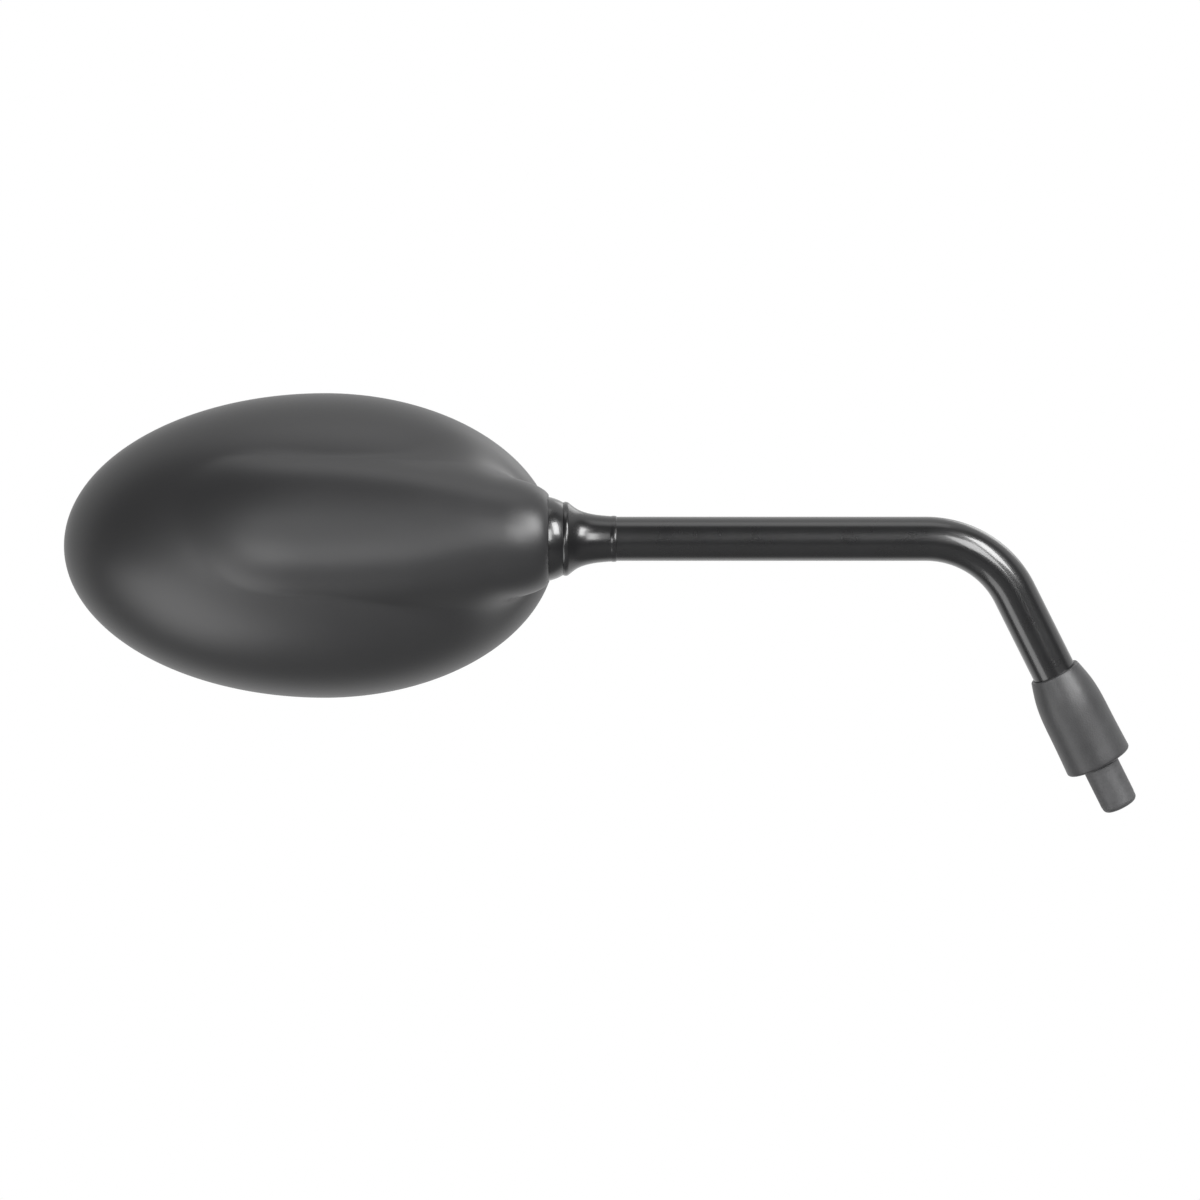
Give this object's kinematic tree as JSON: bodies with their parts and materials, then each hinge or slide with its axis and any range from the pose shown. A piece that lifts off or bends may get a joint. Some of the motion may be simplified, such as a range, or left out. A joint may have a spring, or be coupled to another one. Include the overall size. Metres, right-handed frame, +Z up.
{
  "type": "motorcycle mirror",
  "caption": "Rear view mirror with a convex glass in an egg shaped plastic head, held by a ball joint on a bent black steel stem with a threaded stud and a rubber boot.",
  "frame": {"origin": "on the stud's axis, at the plane of the boot's mouth where the exposed thread starts", "axes": "+X from the mirror head towards the bend of the stem, +Y the way the glass faces, +Z up"},
  "size_m": [0.2923, 0.0424, 0.115],
  "materials": {
    "housing_plastic": "fine grained dark grey moulded plastic",
    "seal_rubber": "black rubber",
    "mirror_glass": "silvered convex glass",
    "foam_pad": "thin adhesive foam",
    "carrier_plastic": "black moulded plastic",
    "nylon": "natural nylon",
    "plain_steel": "zinc plated steel",
    "brass": "turned brass",
    "gloss_black": "gloss black coating",
    "ferrule_plastic": "gloss black plastic",
    "stud_steel": "black zinc plated steel",
    "boot_rubber": "dull dark grey rubber"
  },
  "bodies": {
    "stem": {"stem_tube": "gloss_black", "ball_stud": "gloss_black", "neck_ferrule": "ferrule_plastic", "threaded_stud": "stud_steel", "lock_nut": "stud_steel", "spring_washer": "stud_steel", "stud_boot": "boot_rubber"},
    "upper_pad": {"upper_ball_pad": "nylon"},
    "lower_pad": {"lower_ball_pad": "nylon"},
    "head": {"housing": "housing_plastic", "rim_seal": "seal_rubber", "mirror_glass": "mirror_glass", "glass_pad": "foam_pad", "glass_carrier": "carrier_plastic", "carrier_screws": "plain_steel", "pressure_cup": "nylon", "pressure_spring": "plain_steel", "spring_bracket": "plain_steel", "bracket_screws": "plain_steel", "bracket_washers": "plain_steel", "threaded_inserts": "brass"}
  },
  "joints": [
    {"name": "head_turn", "type": "hinge", "parent": "stem", "child": "upper_pad", "pos_m": [-0.15179, -0.01702, 0.05936], "axis": [1, 0, 0], "continuous": true},
    {"name": "head_swing", "type": "hinge", "parent": "upper_pad", "child": "lower_pad", "pos_m": [-0.15179, -0.01702, 0.05936], "axis": [0, 0, 1], "range_deg": [-12, 12]},
    {"name": "head_tip", "type": "hinge", "parent": "lower_pad", "child": "head", "pos_m": [-0.15179, -0.01702, 0.05936], "axis": [0, 1, 0], "range_deg": [-12, 12]}
  ]
}
